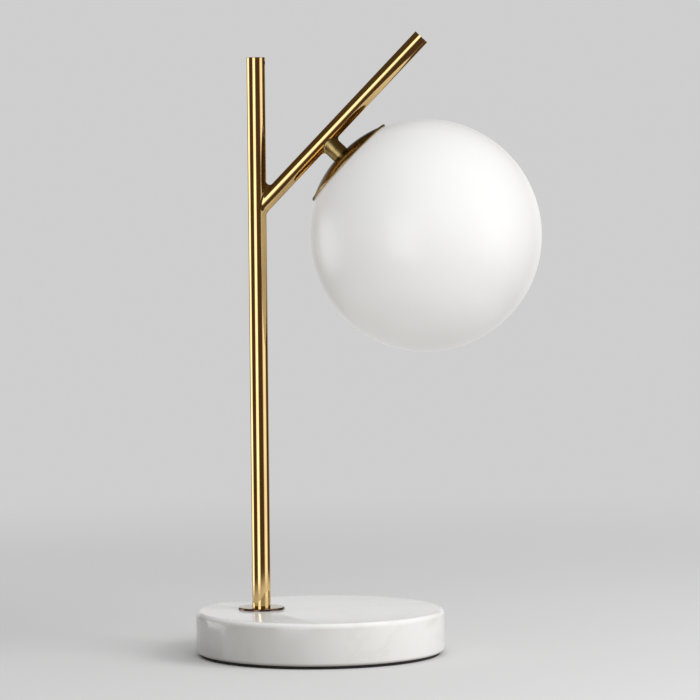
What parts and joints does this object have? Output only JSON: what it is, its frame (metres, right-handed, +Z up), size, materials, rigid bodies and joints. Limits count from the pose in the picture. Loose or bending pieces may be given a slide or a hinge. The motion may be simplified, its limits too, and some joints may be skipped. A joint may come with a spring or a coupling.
{
  "type": "globe table lamp",
  "caption": "Table lamp with an opal glass globe hung under a dish from a leaning brass arm, which forks off a brass stem on a round marble base.",
  "frame": {"origin": "centre of the base's underside, on the surface that the lamp stands on", "axes": "+Z up along the stem, +X the way the arm and the globe lean from the stem, +Y towards the rear, where the cord inlet is"},
  "size_m": [0.3015, 0.2165, 0.5362],
  "materials": {
    "marble": "polished pale marble with faint grey mottling",
    "pad_rubber": "matt",
    "grommet_rubber": "matt",
    "brass": "brushed lengthwise and lacquered, satin to bright",
    "dish_brass": "spun and polished",
    "turned_brass": "plain turned",
    "zinc_steel": "zinc plated",
    "dark_steel": "blackened",
    "spring_steel": "bright",
    "opal_glass": "glossy opal white",
    "lining_rubber": "soft, pale",
    "bulb_glass": "frosted",
    "bulb_cap": "bright",
    "bulb_insulator": "black glass",
    "solder": "dull",
    "holder_plastic": "moulded",
    "insert_ceramic": "unglazed",
    "terminal_plastic": "moulded",
    "lead_brown": "insulation",
    "lead_blue": "insulation"
  },
  "bodies": {
    "root": {"base_disc": "marble", "base_pad": "pad_rubber", "cord_grommet": "grommet_rubber", "flange_plate": "brass", "base_washer": "zinc_steel", "lock_washer": "zinc_steel", "base_nut": "zinc_steel", "foot_rod": "zinc_steel", "terminal_block": "terminal_plastic", "terminal_barrels": "turned_brass", "terminal_screws": "zinc_steel", "lead_front": "lead_brown", "lead_rear": "lead_blue", "stem_tube": "brass", "stem_foot_bush": "turned_brass", "stem_plug": "brass", "plug_screw": "dark_steel", "arm_tube": "brass", "arm_plug": "brass", "neck": "brass", "cap_dish": "dish_brass", "head_rod": "zinc_steel", "gallery_spring": "spring_steel", "head_washer": "zinc_steel", "head_nut": "zinc_steel", "holder_cap": "holder_plastic", "holder_skirt": "holder_plastic", "holder_insert": "insert_ceramic", "screw_shell": "turned_brass", "centre_contact": "spring_steel"},
    "globe": {"globe_glass": "opal_glass", "mouth_lining": "lining_rubber"},
    "bulb": {"bulb_glass": "bulb_glass", "bulb_cap": "bulb_cap", "bulb_insulator": "bulb_insulator", "bulb_contact": "solder"}
  },
  "joints": [
    {"name": "globe_pull_off", "type": "slide", "parent": "root", "child": "globe", "axis": [0.7193, 0, -0.6947], "range_m": [0, 0.115]},
    {"name": "bulb_draw_out", "type": "slide", "parent": "root", "child": "bulb", "axis": [0.7193, 0, -0.6947], "range_m": [0, 0.03]}
  ]
}
